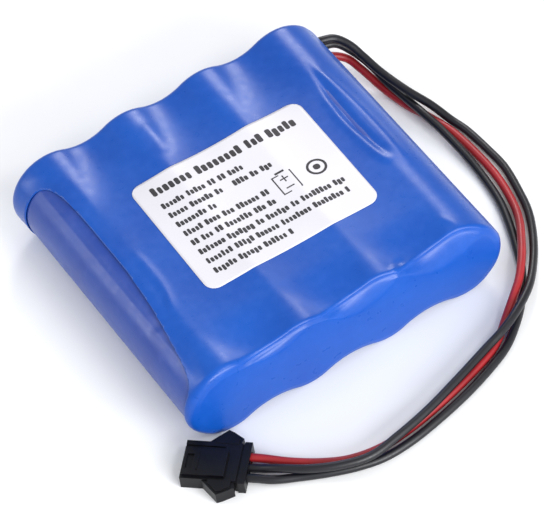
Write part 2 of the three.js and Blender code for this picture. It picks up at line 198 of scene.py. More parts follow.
def inside(line, x, y):
    """Which of the points lie inside a closed line."""
    ax, ay = line[:, 0], line[:, 1]
    bx, by = np.roll(ax, -1), np.roll(ay, -1)
    crossings = np.zeros(x.shape, int)
    for x0, y0, x1, y1 in zip(ax, ay, bx, by):
        if y0 == y1:
            continue
        between = (y >= min(y0, y1)) & (y < max(y0, y1))
        crossings += between & (x < x0 + (y - y0) * (x1 - x0) / (y1 - y0))
    return crossings % 2 == 1


def nearest_on(line, x, y):
    """The nearest points of a closed line, and how far off they are."""
    start = line[:, None, :]
    step = (np.roll(line, -1, axis=0) - line)[:, None, :]
    points = np.stack([x, y], axis=1)[None]
    along = ((points - start) * step).sum(2) / (step**2).sum(2)
    found = start + np.clip(along, 0, 1)[..., None] * step
    distance = np.linalg.norm(points - found, axis=2)
    best = distance.argmin(0)
    pick = np.arange(len(x))
    return found[best, pick], distance[best, pick]


# ---------------------------- helpers: materials
NOISE_RANGE = (0.3, 0.7)  # where most of a noise's values lie


class Nodes:
    """A short way to write a node tree."""

    def __init__(self, name):
        self.material = bpy.data.materials.new(name)
        self.material.use_nodes = True
        self.tree = self.material.node_tree
        self.shader = self.tree.nodes["Principled BSDF"]
        self.place = self.add("ShaderNodeTexCoord").outputs["Object"]

    def add(self, kind, inputs=(), **settings):
        node = self.tree.nodes.new(kind)
        for name, value in settings.items():
            setattr(node, name, value)
        for name, value in dict(inputs).items():
            if isinstance(value, bpy.types.NodeSocket):
                self.tree.links.new(value, node.inputs[name])
            else:
                node.inputs[name].default_value = value
        return node

    def noise(self, scale, detail=3.0, roughness=0.5):
        """Noise from 0 to 1, with its scale in features per metre."""
        inputs = {"Vector": self.place, "Scale": scale, "Detail": detail}
        inputs["Roughness"] = roughness
        return self.add("ShaderNodeTexNoise", inputs).outputs["Fac"]

    def spread(self, value, low, high, out_low=0.0, out_high=1.0):
        """Maps low to high onto out_low to out_high."""
        inputs = {"Value": value, 1: low, 2: high, 3: out_low, 4: out_high}
        return self.add("ShaderNodeMapRange", inputs).outputs["Result"]

    def blend(self, factor, first, second):
        node = self.add("ShaderNodeMix", data_type="RGBA")
        for socket, value in ((0, factor), (6, first), (7, second)):
            if isinstance(value, bpy.types.NodeSocket):
                self.tree.links.new(value, node.inputs[socket])
            else:
                node.inputs[socket].default_value = value
        return node.outputs[2]

    def mottle(self, noise, first, second):
        """One colour to the other, following a noise."""
        return self.blend(self.spread(noise, *NOISE_RANGE), first, second)

    def roughen(self, noise, low, high):
        self.set("Roughness", self.spread(noise, *NOISE_RANGE, low, high))

    def bump(self, height, strength, distance, under=None):
        inputs = {"Height": height, "Strength": strength, "Distance": distance * MM}
        if under is not None:
            inputs["Normal"] = under
        return self.add("ShaderNodeBump", inputs).outputs["Normal"]

    def set(self, name, value):
        socket = self.shader.inputs[name]
        if isinstance(value, bpy.types.NodeSocket):
            self.tree.links.new(value, socket)
        else:
            socket.default_value = value


def colour(red, green, blue):
    """A colour given as sRGB values from 0 to 255, for a shader's socket."""
    parts = [c / 255 for c in (red, green, blue)]
    return tuple(c / 12.92 if c <= 0.04045 else ((c + 0.055) / 1.055) ** 2.4 for c in parts) + (1,)


def paint(piece, material):
    piece.data.materials.clear()
    piece.data.materials.append(material)


def film_material():
    """Blue heat-shrink film: glossy, faintly mottled and finely grained."""
    m = Nodes("shrink_film")
    broad = m.noise(60, 2)
    fine = m.noise(520, 2)
    base = m.mottle(broad, colour(9, 70, 160), colour(15, 79, 171))
    m.set("Base Color", m.blend(m.spread(fine, 0.45, 0.8, 0, 0.1), base, colour(50, 105, 205)))
    m.roughen(fine, 0.27, 0.35)
    m.set("Specular IOR Level", 0.32)
    slow = m.bump(m.noise(140, 2), 0.18, 0.3)
    m.set("Normal", m.bump(fine, 0.1, 0.04, slow))
    return m.material


def wrap_material():
    """The cells' own thin wrap: a greyer blue."""
    m = Nodes("cell_wrap_film")
    broad = m.noise(80, 2)
    fine = m.noise(420, 2)
    base = m.mottle(broad, colour(20, 59, 146), colour(30, 69, 156))
    m.set("Base Color", m.blend(m.spread(fine, 0.5, 0.8, 0, 0.15), base, colour(90, 105, 180)))
    m.roughen(fine, 0.3, 0.4)
    m.set("Specular IOR Level", 0.45)
    m.set("Normal", m.bump(m.noise(220, 2), 0.2, 0.25))
    return m.material


def label_material():
    """Satin white label stock."""
    m = Nodes("label_paper")
    broad = m.noise(45, 2)
    grain = m.noise(5000, 2)
    base = m.mottle(broad, colour(208, 206, 212), colour(218, 216, 221))
    m.set("Base Color", m.blend(m.spread(grain, 0.4, 0.7, 0, 0.06), base, colour(190, 188, 196)))
    m.roughen(broad, 0.34, 0.44)
    m.set("Normal", m.bump(grain, 0.08, 0.02))
    return m.material


def ink_material():
    m = Nodes("label_ink")
    patch = m.noise(2500, 2)
    m.set("Base Color", m.blend(m.spread(patch, 0.35, 0.7), colour(26, 24, 28), colour(40, 37, 42)))
    m.roughen(patch, 0.45, 0.6)
    return m.material


def lead_material(name, dark, light):
    """Extruded insulation, slightly uneven."""
    m = Nodes(name)
    cloud = m.noise(160, 3)
    fine = m.noise(3000, 2)
    m.set("Base Color", m.mottle(cloud, dark, light))
    m.roughen(fine, 0.34, 0.46)
    m.set("Normal", m.bump(fine, 0.1, 0.03))
    return m.material


def moulded_material(name, dark, light, roughness=0.42):
    """Moulded plastic with a fine satin texture."""
    m = Nodes(name)
    cloud = m.noise(300, 3)
    grain = m.noise(6000, 3)
    m.set("Base Color", m.mottle(cloud, dark, light))
    m.roughen(grain, roughness - 0.06, roughness + 0.08)
    m.set("Specular IOR Level", 0.3)
    m.set("Normal", m.bump(grain, 0.18, 0.02))
    return m.material


def metal_material(name, dark, light, roughness=0.3):
    """Drawn or plated metal, finely grained."""
    m = Nodes(name)
    grain = m.noise(1100, 3)
    m.set("Base Color", m.mottle(grain, dark, light))
    m.set("Metallic", 1.0)
    m.roughen(grain, roughness - 0.06, roughness + 0.1)
    m.set("Normal", m.bump(grain, 0.1, 0.02))
    return m.material


def fibre_material(name, dark, light, scale=1200):
    """Paper, card and laminate: speckled and matte."""
    m = Nodes(name)
    fibres = m.noise(scale, 4, 0.65)
    m.set("Base Color", m.mottle(fibres, dark, light))
    m.roughen(fibres, 0.7, 0.85)
    m.set("Normal", m.bump(fibres, 0.3, 0.04))
    return m.material


# ---------------------------- stage
WORLD_COLOUR = (0.96, 0.98, 1.0, 1)
WORLD_STRENGTH = 0.66
FLOOR_HALF = 3000
LIGHTS = [  # name, place, aim, size, power and tint
    ("front_key", (60, -620, 260), (0, -20, 5), (480, 240), 4.6, (0.97, 0.98, 1.0)),
    ("front_high", (166, -400, 500), (0, -30, 10), (240, 120), 0.9, (0.97, 0.98, 1.0)),
    ("far_high", (320, 410, 372), (20, 0, 10), (150, 240), 1.25, (1.0, 0.97, 1.0)),
    ("strip_left", (-480, 330, 330), (-30, 0, 10), (36, 420), 1.0, (0.96, 0.96, 1.0)),
]


def area_light(name, place, aim, size, power, tint):
    """A soft box, with its place, aim and size in millimetres."""
    data = bpy.data.lights.new(name, "AREA")
    data.shape = "RECTANGLE"
    data.size, data.size_y = (s * MM for s in size)
    data.energy = power
    data.color = tint
    lamp = add_object(name, data)
    start, end = Vector(place) * MM, Vector(aim) * MM
    turn = (end - start).to_track_quat("-Z", "Y").to_matrix().to_4x4()
    lamp.matrix_world = Matrix.Translation(start) @ turn


def floor_material():
    m = Nodes("pale_floor")
    speck = m.noise(30, 3)
    m.set("Base Color", m.mottle(speck, (0.9, 0.9, 0.9, 1), (0.93, 0.93, 0.93, 1)))
    m.set("Roughness", 0.9)
    return m.material


def make_stage():
    scene = bpy.context.scene
    scene.view_settings.view_transform = "Standard"
    world = bpy.data.worlds.new("studio")
    scene.world = world
    world.use_nodes = True
    background = world.node_tree.nodes["Background"]
    background.inputs["Color"].default_value = WORLD_COLOUR
    background.inputs["Strength"].default_value = WORLD_STRENGTH
    corners = [(x * FLOOR_HALF, y * FLOOR_HALF, 0) for x, y in ((-1, -1), (1, -1), (1, 1), (-1, 1))]
    floor = mesh_object("floor", corners, [(0, 1, 2, 3)], smooth=False)
    paint(floor, floor_material())
    for light in LIGHTS:
        area_light(*light)


make_stage()


# ---------------------------- leads
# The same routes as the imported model's, in metres, up to the connector.
CONNECTOR_PLACE = (-0.0365, -0.0425)
CONNECTOR_YAW = math.radians(138)
PIN_PITCH = 0.0025
PIN_HEIGHT = 0.0016
LEAD_DIAMETER = 0.0018
LEAD_ROUNDNESS = 6
PLUG_ENTRY = -0.0084  # along the connector's x, just behind the housing
PLUG_INSIDE = -0.004

RED_ROUTE = [
    (0.0215, 0.0339, 0.0066), (0.0290, 0.0339, 0.0067), (0.0350, 0.0331, 0.0069),
    (0.0388, 0.0319, 0.0067), (0.0418, 0.0300, 0.0055), (0.0431, 0.0272, 0.0041),
    (0.0440, 0.0245, 0.0028), (0.0447, 0.0218, 0.0018), (0.0455, 0.0185, 0.0012),
    (0.0466, 0.0140, 0.0010), (0.0484, 0.0085, 0.0010), (0.0500, 0.0015, 0.0010),
    (0.0505, -0.0070, 0.0010), (0.0503, -0.0140, 0.0010), (0.0490, -0.0213, 0.0012),
    (0.0470, -0.0270, 0.0018), (0.0440, -0.0323, 0.0026), (0.0410, -0.0368, 0.0031),
    (0.0375, -0.0410, 0.0031), (0.0340, -0.0440, 0.0028), (0.0305, -0.0466, 0.0019),
    (0.0265, -0.0497, 0.0012), (0.0225, -0.0520, 0.0010), (0.0140, -0.0548, 0.0010),
    (0.0050, -0.0570, 0.0010), (-0.0020, -0.0581, 0.0010), (-0.0080, -0.0583, 0.0010),
    (-0.0140, -0.0570, 0.0010), (-0.0190, -0.0543, 0.0010), (-0.0240, -0.0505, 0.0012),
]
UPPER_BLACK_ROUTE = [
    (0.0215, 0.0339, 0.0117), (0.0290, 0.0338, 0.0118), (0.0345, 0.0330, 0.0119),
    (0.0383, 0.0321, 0.0120), (0.0406, 0.0312, 0.0115), (0.0425, 0.0288, 0.0102),
    (0.0437, 0.0257, 0.0084), (0.0450, 0.0209, 0.0066), (0.0470, 0.0146, 0.0052),
    (0.0496, 0.0096, 0.0032), (0.0514, 0.0050, 0.0013), (0.0525, 0.0005, 0.0010),
    (0.0530, -0.0070, 0.0010), (0.0530, -0.0130, 0.0010), (0.0516, -0.0203, 0.0010),
    (0.0500, -0.0260, 0.0010), (0.0470, -0.0320, 0.0012), (0.0430, -0.0380, 0.0019),
    (0.0380, -0.0438, 0.0031), (0.0320, -0.0480, 0.0036), (0.0270, -0.0503, 0.0034),
    (0.0220, -0.0518, 0.0031), (0.0125, -0.0550, 0.0031), (0.0040, -0.0576, 0.0031),
    (-0.0040, -0.0594, 0.0032), (-0.0110, -0.0603, 0.0032), (-0.0170, -0.0586, 0.0032),
    (-0.0227, -0.0554, 0.0031), (-0.0272, -0.0514, 0.0026),
]
LOWER_BLACK_ROUTE = [
    (0.0215, 0.0339, 0.0094), (0.0290, 0.0338, 0.0096), (0.0348, 0.0330, 0.0099),
    (0.0387, 0.0322, 0.0100), (0.0410, 0.0316, 0.0092), (0.0429, 0.0298, 0.0075),
    (0.0443, 0.0276, 0.0059), (0.0453, 0.0246, 0.0044), (0.0457, 0.0207, 0.0034),
    (0.0462, 0.0169, 0.0031), (0.0467, 0.0126, 0.0030), (0.0472, 0.0080, 0.0029),
    (0.0479, 0.0025, 0.0022), (0.0482, -0.0050, 0.0016), (0.0480, -0.0120, 0.0011),
    (0.0470, -0.0195, 0.0010), (0.0453, -0.0255, 0.0010), (0.0430, -0.0315, 0.0010),
    (0.0398, -0.0385, 0.0010), (0.0356, -0.0444, 0.0010), (0.0310, -0.0490, 0.0010),
    (0.0260, -0.0527, 0.0010), (0.0200, -0.0553, 0.0010), (0.0130, -0.0576, 0.0010),
    (0.0055, -0.0594, 0.0010), (-0.0015, -0.0606, 0.0010), (-0.0080, -0.0608, 0.0010),
    (-0.0135, -0.0596, 0.0010), (-0.0190, -0.0574, 0.0010), (-0.0245, -0.0546, 0.0010),
    (-0.0290, -0.0523, 0.0013),
]


def at_connector(along, across, height):
    """A point of the connector's own frame in the pack's."""
    cos, sin = math.cos(CONNECTOR_YAW), math.sin(CONNECTOR_YAW)
    x = CONNECTOR_PLACE[0] + along * cos - across * sin
    y = CONNECTOR_PLACE[1] + along * sin + across * cos
    return (x, y, height)


def open_spline(points, per_span=10):
    """A smooth line through points, with steps along each span."""
    points = np.array(points, float)
    ends = [2 * points[0] - points[1], *points, 2 * points[-1] - points[-2]]
    line = []
    for p0, p1, p2, p3 in zip(ends, ends[1:], ends[2:], ends[3:]):
        for t in np.arange(per_span) / per_span:
            line.append(catmull_rom(p0, p1, p2, p3, t))
    line.append(points[-1])
    return np.array(line)


def make_lead(name, route, pin, material):
    """A lead along its route into the connector, and its length in metres."""
    across = pin * PIN_PITCH
    ends = [at_connector(x, across, PIN_HEIGHT) for x in (PLUG_ENTRY, PLUG_INSIDE)]
    line = open_spline([*route, *ends])
    data = bpy.data.curves.new(name, "CURVE")
    data.dimensions = "3D"
    data.bevel_depth = LEAD_DIAMETER / 2
    data.bevel_resolution = LEAD_ROUNDNESS
    data.use_fill_caps = True
    spline = data.splines.new("POLY")
    spline.points.add(len(line) - 1)
    for point, place in zip(spline.points, line):
        point.co = (*place, 1)
    spline.use_smooth = True
    lead = add_object(name, data)
    paint(lead, material)
    length = np.linalg.norm(np.diff(line, axis=0), axis=1).sum()
    return lead, length


for lead_name, lead_node, route, pin, dark, light in (
    ("red_wire", "lead_red", RED_ROUTE, -1, colour(140, 22, 28), colour(164, 32, 38)),
    ("upper_black_wire", "lead_black_upper", UPPER_BLACK_ROUTE, 0, colour(7, 7, 13), colour(13, 13, 21)),
    ("lower_black_wire", "lead_black_lower", LOWER_BLACK_ROUTE, 1, colour(7, 7, 13), colour(13, 13, 21)),
):
    lead, length = make_lead(lead_name, route, pin, lead_material(lead_name + "_pvc", dark, light))
    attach(lead, "root")
    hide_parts(lead_node)


# ---------------------------- the sleeve
# The film's surface is a grid. A column runs from the middle of the front face over the edge,
# along the pack and down the far face; the columns go once round the pack's section. Across the
# section, `around` is the distance along the film from the middle of the top, positive to +X.
QUARTER = math.pi / 2
SIDE_ARC = RADIUS * math.pi
ROUND_TO = SIDE + SIDE_ARC  # where the side's round ends and the underside starts

VALLEY_UNDER_LABEL = 0.3
VALLEY_AT_FAR = 2.25
VALLEY_AT_FRONT = 1.5
VALLEY_UNDERNEATH = 1.86
DEEPENS_TO_FAR = (11, 25)  # from this y on, over this length
DEEPENS_TO_FRONT = (-23, 13)


def valley_depth(y):
    """How deep the film sinks between two cells, less in the middle than near the ends."""
    far = smooth_step((y - DEEPENS_TO_FAR[0]) / DEEPENS_TO_FAR[1])
    front = smooth_step((DEEPENS_TO_FRONT[0] - y) / DEEPENS_TO_FRONT[1])
    to_far = (VALLEY_AT_FAR - VALLEY_UNDER_LABEL) * far
    to_front = (VALLEY_AT_FRONT - VALLEY_UNDER_LABEL) * front
    return VALLEY_UNDER_LABEL + to_far + to_front


def lobed_drop(x, depth):
    """How far the film lies under its crests at x, with valleys of that depth."""
    spread = 2 * np.arctan(depth / HALF_PITCH)
    off = np.abs((x - CRESTS[0] + HALF_PITCH) % (2 * HALF_PITCH) - HALF_PITCH)
    web = HALF_PITCH / np.sin(spread) - RADIUS
    over_cell = RADIUS - np.sqrt(np.maximum(RADIUS**2 - off**2, 0))
    in_valley = RADIUS - HALF_PITCH / np.tan(spread)
    in_valley = in_valley + np.sqrt(np.maximum(web**2 - (HALF_PITCH - off) ** 2, 0))
    return np.where(off < RADIUS * np.sin(spread), over_cell, in_valley)


# Folds and wrinkles in the film: points as (around, y), width and height in millimetres.
WRINKLES = [
    # the deep crease over the last cell, the broad ridge beside it and the thinner inner pair
    ([(29, 25), (28, 9), (28, -2), (29, -10)], 0.7, -0.45),
    ([(29, 24), (31, 6), (31, -16)], 1.3, 0.4),
    ([(28, 18), (27, 5), (28, -3)], 0.6, -0.2),
    ([(27, 16), (26, 4), (27, -8), (29, -11)], 0.8, 0.2),
    # two beside the left opening
    ([(-27, 4), (-26.5, -3), (-26.5, -9), (-27.5, -14), (-29.5, -18)], 0.9, 0.12),
    ([(-28, -5), (-28, -11), (-29, -15), (-31, -19)], 0.7, -0.1),
    # the slanting end of the broad ridge
    ([(27, -29), (30, -34)], 0.9, 0.14),
    # a soft one over the second cell
    ([(-7, 31), (-7, 19)], 1.6, 0.2),
    # the pinch between the second and third crescents
    ([(12, -35), (14, -34)], 0.5, 0.24),
    ([(14, -33), (16, -34)], 0.5, -0.18),
]

WRINKLE_STEPS = 6  # along each span
WRINKLE_REACH = 3  # widths, past which a wrinkle no longer counts
WRINKLE_FADE = 4  # either end fades over one part in this many of the length


def wrinkle_height(around, y):
    """How much the folds and wrinkles raise or lower the film."""
    total = np.zeros_like(around)
    for points, width, height in WRINKLES:
        line = open_spline(points, WRINKLE_STEPS)
        start, step = line[:-1], np.diff(line, axis=0)
        reach = WRINKLE_REACH * width
        low, high = line.min(0) - reach, line.max(0) + reach
        near = (around > low[0]) & (around < high[0]) & (y > low[1]) & (y < high[1])
        if not near.any():
            continue
        places = np.stack([around[near], y[near]], axis=1)[:, None]
        along = np.clip(((places - start) * step).sum(2) / (step**2).sum(1), 0, 1)
        off = np.linalg.norm(places - start - along[..., None] * step, axis=2)
        best = off.argmin(1)
        pick = np.arange(len(best))
        share = (best + along[pick, best]) / len(step)
        fade = smooth_step(WRINKLE_FADE * share) * smooth_step(WRINKLE_FADE * (1 - share))
        total[near] += fade * hump(off[pick, best], width, height)
    return total


# Along the top of the front face the film is scooped back in three crescents, one beside each
# valley between two cells, deeper and wider towards the leads' side.
VALLEYS = [(a + b) / 2 for a, b in zip(CRESTS, CRESTS[1:])]
CRESCENTS = [  # centre's x past the valley, half width, how far back, how far down
    (2, 8, 0.5, 3.0),
    (4, 9, 1.1, 5.0),
    (5, 10, 1.4, 6.0),
]
CRESCENT_TOP = 8.6  # over the cells' axes
SCOOP_CURVE = 1.8  # 1 would be a straight slope from the face up to the edge
EDGE_LEAN = 0.5  # the whole edge stands back a little, and less towards both sides
LEFT_EASE = 10  # over how much of x the edge changes towards the left side
RIGHT_EASE = 10
LEAN_EASE = 6  # over how much of x the lean fades out at the right side
TOP_SHARE = 0.5  # the edge is the top's where the film faces up by more than this
SHARP_ROUNDING = 0.7
SOFT_LEFT = 1.0  # how much rounder the edge is at the left side
SOFT_RIGHT = 0.6
EDGE_ROUNDING = 1.6  # of the underside and of the far end


def crescents(x):
    """How far the front edge is set back at x, and how far its scoop reaches down."""
    back, down = np.zeros_like(x), np.zeros_like(x)
    for valley, (past, half_width, most_back, most_down) in zip(VALLEYS, CRESCENTS):
        share = np.clip(1 - ((x - valley - past) / half_width) ** 2, 0, 1)
        back = np.maximum(back, most_back * share)
        down = np.maximum(down, most_down * share)
    return back, down


def section(around):
    """Foot on the mid-line, and outward direction, for places round the section."""
    turn = (np.abs(around) - SIDE) / RADIUS
    angle = QUARTER - np.clip(turn, 0, math.pi)
    on_round = turn > 0
    under = turn > math.pi
    sign = np.sign(around)
    foot = np.where(under, sign * (ROUND_TO + SIDE - np.abs(around)), np.clip(around, -SIDE, SIDE))
    out_x = np.where(on_round & ~under, sign * np.cos(angle), 0.0)
    out_z = np.where(on_round, np.sin(angle), 1.0)
    out_z = np.where(under, -1.0, out_z)
    return foot, out_x, out_z


def full_height(around, y):
    """How far the film is from the mid-line, away from the end faces."""
    foot = section(around)[0]
    flat = np.abs(around) <= SIDE
    under = np.abs(around) >= ROUND_TO
    drop = np.where(flat, lobed_drop(foot, valley_depth(y)), 0.0)
    drop = np.where(under, lobed_drop(foot, np.full_like(y, VALLEY_UNDERNEATH)), drop)
    return RADIUS - drop + wrinkle_height(around, y)


def front_values(around):
    """Rounding and backset of the front edge round the whole section."""
    foot, out_x, out_z = section(around)
    x = foot + out_x * RADIUS
    top = smooth_step(out_z / TOP_SHARE)
    softness = SOFT_LEFT * smooth_step((VALLEYS[0] - x) / LEFT_EASE)
    softness = softness + SOFT_RIGHT * smooth_step((x - SIDE) / RIGHT_EASE)
    rounding = EDGE_ROUNDING + (SHARP_ROUNDING + softness - EDGE_ROUNDING) * top
    from_left = smooth_step((x + SIDE) / LEFT_EASE)
    to_right = smooth_step((SIDE + RADIUS - x) / LEAN_EASE)
    lean = EDGE_LEAN * from_left * to_right
    backset = (crescents(x)[0] + lean) * top
    return rounding, backset


def film_point(around, y, lift=0.0):
    """A point of the film between the end faces, in the rounded edges too."""
    rounding, backset = front_values(around)
    foot, out_x, out_z = section(around)
    front_from = -HALF_LENGTH + backset + rounding
    into_front = np.clip((front_from - y) / rounding, 0, 1)
    into_far = np.clip((y - HALF_LENGTH + EDGE_ROUNDING) / EDGE_ROUNDING, 0, 1)
    inset = rounding * (1 - np.sqrt(1 - into_front**2))
    inset = inset + EDGE_ROUNDING * (1 - np.sqrt(1 - into_far**2))
    height = full_height(around, y) - inset + lift
    return np.stack([foot + out_x * height, y, AXIS + out_z * height], axis=-1)


# The two openings are rounded oblongs, as (distance round the section, y). Their upper and lower
# edges are given in degrees from the side's middle, and the upper edge rises part of the way.
WRAP_LOW, WRAP_HIGH = (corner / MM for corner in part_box("cell_1_wrap"))
LEFT_MARGINS = (0.2, 0.6)  # the left opening ends this far inside the wrap's near and far end
RIGHT_MARGIN = 1  # the right opening ends this far inside the sleeve's ends
OPENINGS = {
    -1: dict(start=WRAP_LOW.y + LEFT_MARGINS[0], end=WRAP_HIGH.y - LEFT_MARGINS[1],
             upper=58, lower=54, rise=18, rise_from=-34, rise_over=32, squareness=6),
    1: dict(start=RIGHT_MARGIN - HALF_LENGTH, end=HALF_LENGTH - RIGHT_MARGIN,
            upper=17, lower=49, rise=7, rise_from=5, rise_over=25, squareness=8),
}
OPENING_POINTS = 180
OPENING_REACH = 3  # how far past the side's round an opening's edge can be felt
LIP_HEIGHT = 0.08  # the film stands up along an opening, with an equally deep groove beside it
LIP_WIDTH = 0.9
GROOVE_OFF = 2.2
GROOVE_WIDTH = 1.1
HUG_DEPTH = 0.2  # near its far end the left opening's edge lies closer to the cell
HUG_WIDTH = 1.6
HUG_FROM, HUG_OVER = 25, 4


def opening_line(side):
    """An opening's outline as (around, y)."""
    shape = OPENINGS[side]
    turn = np.arange(OPENING_POINTS) * 2 * math.pi / OPENING_POINTS
    power = 2 / shape["squareness"]
    along = np.sign(np.cos(turn)) * np.abs(np.cos(turn)) ** power
    up = np.sign(np.sin(turn)) * np.abs(np.sin(turn)) ** power
    y = (shape["start"] + shape["end"]) / 2 + (shape["end"] - shape["start"]) / 2 * along
    risen = shape["rise"] * smooth_step((y - shape["rise_from"]) / shape["rise_over"])
    lean = up * np.where(up > 0, shape["upper"] + risen, shape["lower"])
    around = side * (SIDE + RADIUS * (QUARTER - np.radians(lean)))
    return np.stack([around, y], axis=1)


def opening_lift(side, distance, y):
    """How much the film is raised at a distance from an opening's edge."""
    lift = hump(distance, LIP_WIDTH, LIP_HEIGHT) - hump(distance - GROOVE_OFF, GROOVE_WIDTH, LIP_HEIGHT)
    if side < 0:
        lift = lift - smooth_step((y - HUG_FROM) / HUG_OVER) * hump(distance, HUG_WIDTH, HUG_DEPTH)
    return lift


FILM_STEP = 0.5  # between columns
ROW_STEP = 0.6
FRONT_FACE_ROWS = 22
FAR_FACE_ROWS = 10
ROUND_ROWS = 8
FILM_JOIN = 0.02


def film_columns():
    """The columns' places round the section, about a step apart."""
    top = np.linspace(-SIDE, SIDE, 2 * round(SIDE / FILM_STEP) + 1)
    side = SIDE + np.linspace(0, SIDE_ARC, round(SIDE_ARC / FILM_STEP) + 1)[1:]
    under = ROUND_TO + np.linspace(0, SIDE, round(SIDE / FILM_STEP) + 1)[1:]
    right = np.concatenate([side, under])
    left = -np.concatenate([side, under[:-1]])
    return np.concatenate([left[::-1], top, right])


def film_edge_rows(around):
    """The y of each row from the front face's rim to the far face's rim, for each column."""
    rounding, backset = front_values(around)
    steps = np.linspace(0, QUARTER, ROUND_ROWS + 1)[:-1]
    front = -HALF_LENGTH + backset[None] + rounding[None] * (1 - np.cos(steps))[:, None]
    start = -HALF_LENGTH + backset + rounding
    far_from = HALF_LENGTH - EDGE_ROUNDING
    count = round(2 * HALF_LENGTH / ROW_STEP)
    share = np.linspace(0, 1, count)[:, None]
    middle = start[None] * (1 - share) + far_from * share
    far = far_from + EDGE_ROUNDING * np.sin(steps[1:])
    far = np.append(far, HALF_LENGTH)[:, None] + np.zeros_like(around)[None]
    return np.concatenate([front, middle, far])


def make_sleeve(material):
    around = film_columns()
    ys = film_edge_rows(around)
    grid_around = np.broadcast_to(around, ys.shape).copy()
    removed = np.zeros(ys.shape, bool)
    lift = np.zeros(ys.shape)
    for side in OPENINGS:
        line = opening_line(side)
        off_middle = np.abs(grid_around - side * (SIDE + SIDE_ARC / 2))
        near = off_middle < SIDE_ARC / 2 + OPENING_REACH
        hole = near & inside(line, grid_around, ys)
        edge = hole & neighbour_of(~hole, closed=True)
        found, _ = nearest_on(line, grid_around[edge], ys[edge])
        grid_around[edge], ys[edge] = found[:, 0], found[:, 1]
        removed |= hole & ~edge
        _, distance = nearest_on(line, grid_around[near], ys[near])
        lift[near] += opening_lift(side, distance, ys[near])
    points = film_point(grid_around, ys, lift)
    front = face_rows(points[0], around, front=True)
    far = face_rows(points[-1], around, front=False)
    rows = np.concatenate([front, points, far[::-1]])
    gone = np.pad(removed, ((len(front), len(far)), (0, 0)))
    faces = grid_faces(gone.shape, closed=True, gone=gone)
    return make_sheet("sleeve_film", rows, faces, material, FILM_THICKNESS, FILM_JOIN)


FRONT_BULGE = 0.35
FAR_BULGE = 0.2
LEAST_SCOOP = 0.4
ROUND_REACH = 0.8  # the share of the radius at which the crescents are taken on the side's round


def face_rows(rim, around, front):
    """The rows of an end face, from the section's mid-line out to just inside its rim."""
    foot, out_x, out_z = section(around)
    rim_height = np.hypot(rim[:, 0] - foot, rim[:, 2] - AXIS)
    count = FRONT_FACE_ROWS if front else FAR_FACE_ROWS
    height = (np.arange(count) / count)[:, None] * rim_height[None]
    x = foot + out_x * height
    z = AXIS + out_z * height
    bulge = 1 - (height / RADIUS) ** 2
    if front:
        backset = front_values(around)[1]
        floor = CRESCENT_TOP - crescents(foot + out_x * RADIUS * ROUND_REACH)[1]
        span = np.maximum(rim_height - floor, LEAST_SCOOP)
        scoop = np.clip((height - floor) / span, 0, 1) ** SCOOP_CURVE
        y = -HALF_LENGTH + backset * scoop * (out_z > 0) - FRONT_BULGE * bulge
    else:
        y = HALF_LENGTH + FAR_BULGE * bulge
    return np.stack([x, y, z], axis=-1)


FILM = film_material()
sleeve = make_sleeve(FILM)
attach(sleeve, "root")
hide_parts("shrink_sleeve")


# ---------------------------- the label and its print
LABEL_CORNER = 2.6
LABEL_TURN = math.radians(-0.8)
LABEL_STEP = 0.55
JUST_INSIDE = 0.9999  # keeps points that lie on the outline itself
LABEL_RISE = 0.12  # over the film
LABEL_THICKNESS = 0.1
LABEL_CENTRE = ((LABEL_LOW.x + LABEL_HIGH.x) / 2, (LABEL_LOW.y + LABEL_HIGH.y) / 2)
LABEL_HALF = ((LABEL_HIGH.x - LABEL_LOW.x) / 2, (LABEL_HIGH.y - LABEL_LOW.y) / 2)


def label_point(u, v, rise):
    """A place on the film under the label's own u and v, raised by `rise`."""
    cos, sin = math.cos(LABEL_TURN), math.sin(LABEL_TURN)
    x = LABEL_CENTRE[0] + u * cos - v * sin
    y = LABEL_CENTRE[1] + u * sin + v * cos
    return np.stack([x, y, AXIS + full_height(x, y) + rise], axis=-1)


def rounded_outline(half_width, half_height, corner, steps=10):
    """A rectangle with round corners, as points round its middle."""
    line = []
    for k, (sx, sy) in enumerate(((1, 1), (-1, 1), (-1, -1), (1, -1))):
        for a in np.linspace(k * QUARTER, (k + 1) * QUARTER, steps):
            x = sx * (half_width - corner) + corner * math.cos(a)
            y = sy * (half_height - corner) + corner * math.sin(a)
            line.append((x, y))
    return np.array(line)


def make_label(material):
    us, vs = (np.linspace(-half, half, round(2 * half / LABEL_STEP) + 1) for half in LABEL_HALF)
    u, v = np.meshgrid(us, vs)
    line = rounded_outline(*LABEL_HALF, LABEL_CORNER)
    outside = ~inside(line, u * JUST_INSIDE, v * JUST_INSIDE)
    edge = outside & neighbour_of(~outside, closed=False)
    found, _ = nearest_on(line, u[edge], v[edge])
    u[edge], v[edge] = found[:, 0], found[:, 1]
    points = label_point(u, v, LABEL_RISE)
    faces = grid_faces(u.shape, closed=False, gone=outside & ~edge)
    return make_sheet("label_sheet", points, faces, material, LABEL_THICKNESS)


# The print, made of small rounded blocks that stand for letters: a heading over even rows. The
# rows are given by the stretches that they fill, in millimetres from the left margin.
PRINT_MARGIN = -17
HEADING_V = 13
HEADING_HEIGHT = 2.5
FIRST_ROW_V = 8.5
ROW_PITCH = 3
ROW_HEIGHT = 1.6
SHORTEST_WORD, LONGEST_WORD = 2, 8  # letters
HEADING_FILLS = [(0, 34)]
ROW_FILLS = [
    [(0, 19)], [(0, 13), (15, 24)], [(0, 10)], [(0, 20)], [(0, 20)], [(0, 34)], [(0, 34)], [(0, 19)],
]
PRINT_SEED = 4
PRINT_SLANT = -0.03  # the print runs slightly off the label's own edge
INK_RISE = 0.15
INK_THICKNESS = 0.02
THIN_STROKE, BOLD_STROKE = 0.28, 0.5

